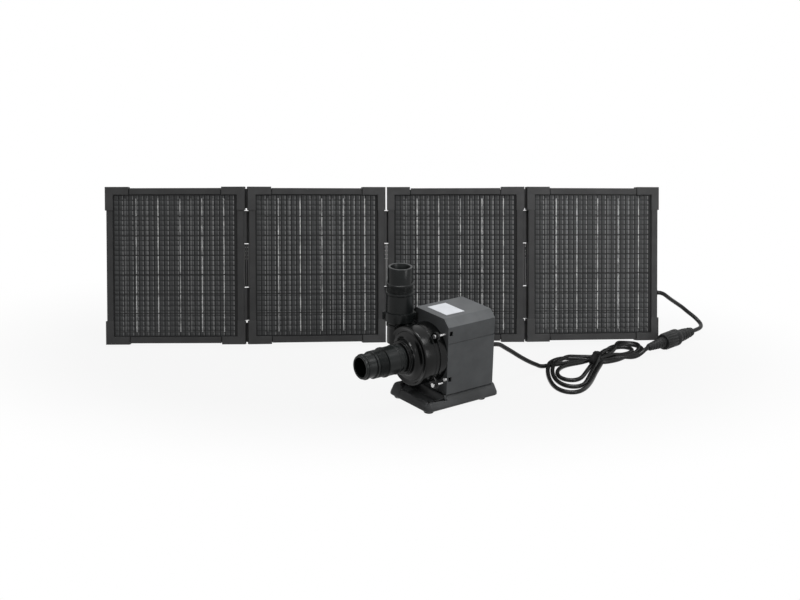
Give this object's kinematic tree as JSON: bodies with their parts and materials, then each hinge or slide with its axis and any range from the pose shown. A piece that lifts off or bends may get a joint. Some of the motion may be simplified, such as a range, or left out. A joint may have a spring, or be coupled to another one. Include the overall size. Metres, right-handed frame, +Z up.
{
  "type": "solar fountain pump",
  "caption": "Folding solar panel array on back legs, wired through a screw-lock connector to a small water pump with hose-tail inlet and outlet.",
  "frame": {"origin": "floor level, under the centre of the plan box of the array and pump", "axes": "+X right along the array, +Y away from the side that the panels face, +Z up"},
  "size_m": [0.9448, 0.4375, 0.2419],
  "materials": {
    "panel_frame": "dark grey powder-coated rail, satin",
    "corner_plastic": "moulded dark grey corner, satin",
    "laminate": "embossed clear film over a black backing",
    "solar_cell": "dark silicon cell under embossed film",
    "hinge_metal": "dull steel",
    "black_plastic": "moulded black plastic",
    "rubber": "soft black rubber",
    "cord_rubber": "black cord jacket, slight sheen",
    "housing_grey": "moulded dark grey plastic, fine texture",
    "cover_grey": "moulded grey plastic, fine texture",
    "label": "blank pale label",
    "gloss_black": "moulded black plastic, glossy",
    "steel": "polished steel",
    "bronze": "sintered bronze",
    "lamination": "stacked steel",
    "copper": "enamelled copper wire",
    "board": "green solder mask",
    "leg_metal": "grey powder coat",
    "impeller_plastic": "pale moulded plastic",
    "magnet": "sintered ferrite"
  },
  "bodies": {
    "base": {"frame_4": "panel_frame", "corner_caps_4": "corner_plastic", "laminate_4": "laminate", "cells_4": "solar_cell", "hinge_34_leaf_b": "hinge_metal", "junction_box": "black_plastic", "panel_grommet": "rubber", "socket_body": "black_plastic", "plug_body": "black_plastic", "connector_seal": "rubber", "pump_cord_lead": "cord_rubber", "pump_cord_hank": "cord_rubber", "pump_cord_tail": "cord_rubber", "panel_cord": "cord_rubber", "cord_tie": "black_plastic", "base_plate": "housing_grey", "rubber_feet": "rubber", "motor_housing": "housing_grey", "top_cover": "cover_grey", "label_plate": "label", "volute_back": "gloss_black", "volute_front": "gloss_black", "casing_gasket": "rubber", "shaft": "steel", "bearing_bushes": "bronze", "stator_core": "lamination", "stator_coils": "copper", "isolation_can": "black_plastic", "control_board": "board", "casing_screws": "steel", "outlet_adaptor": "gloss_black", "inlet_adaptor": "gloss_black", "pump_gland": "rubber"},
    "panel_3": {"frame_3": "panel_frame", "corner_caps_3": "corner_plastic", "laminate_3": "laminate", "cells_3": "solar_cell", "hinge_34_leaf_a": "hinge_metal", "hinge_34_pin": "hinge_metal", "hinge_23_leaf_b": "hinge_metal"},
    "panel_2": {"frame_2": "panel_frame", "corner_caps_2": "corner_plastic", "laminate_2": "laminate", "cells_2": "solar_cell", "hinge_23_leaf_a": "hinge_metal", "hinge_23_pin": "hinge_metal", "hinge_12_leaf_b": "hinge_metal"},
    "panel_1": {"frame_1": "panel_frame", "corner_caps_1": "corner_plastic", "laminate_1": "laminate", "cells_1": "solar_cell", "hinge_12_leaf_a": "hinge_metal", "hinge_12_pin": "hinge_metal"},
    "leg_1": {"back_leg_1": "leg_metal"},
    "leg_4": {"back_leg_4": "leg_metal"},
    "rotor": {"impeller": "impeller_plastic", "rotor_magnet": "magnet"},
    "nut": {"coupling_nut": "black_plastic"},
    "collar": {"outlet_collar": "gloss_black"}
  },
  "joints": [
    {"name": "fold_34", "type": "hinge", "parent": "base", "child": "panel_3", "pos_m": [0.21587, 0.14681, 0.1212], "axis": [0.0272, -0.2827, -0.9588], "range_deg": [-10, 170]},
    {"name": "fold_23", "type": "hinge", "parent": "panel_3", "child": "panel_2", "pos_m": [0.00003, 0.12785, 0.12066], "axis": [-0.0272, 0.2827, 0.9588], "range_deg": [-10, 170]},
    {"name": "fold_12", "type": "hinge", "parent": "panel_2", "child": "panel_1", "pos_m": [-0.21546, 0.10528, 0.1212], "axis": [0.0272, -0.2827, -0.9588], "range_deg": [-10, 170]},
    {"name": "leg_swing_1", "type": "hinge", "parent": "panel_1", "child": "leg_1", "pos_m": [-0.32417, 0.10639, 0.14803], "axis": [0.9996, 0.0123, 0.0248], "range_deg": [-26, 2]},
    {"name": "leg_swing_4", "type": "hinge", "parent": "base", "child": "leg_4", "pos_m": [0.32238, 0.16865, 0.14803], "axis": [0.9836, 0.1787, -0.0248], "range_deg": [-26, 2]},
    {"name": "impeller_spin", "type": "hinge", "parent": "base", "child": "rotor", "pos_m": [0.0649, -0.133, 0.076], "axis": [-0.7934, -0.6088, 0], "continuous": true},
    {"name": "coupling_nut_turn", "type": "hinge", "parent": "base", "child": "nut", "pos_m": [0.449, 0.1156, 0.0135], "axis": [0.7071, 0.7071, 0], "range_deg": [0, 720]},
    {"name": "outlet_collar_turn", "type": "hinge", "parent": "base", "child": "collar", "pos_m": [0.02209, -0.11417, 0.121], "axis": [0, 0, 1], "range_deg": [-90, 0]}
  ],
  "couplings": [
    {"joint": "fold_23", "follows": "fold_34", "ratio": 1},
    {"joint": "fold_12", "follows": "fold_34", "ratio": 1},
    {"joint": "leg_swing_1", "follows": "fold_34", "ratio": -0.152},
    {"joint": "leg_swing_4", "follows": "fold_34", "ratio": -0.152}
  ]
}
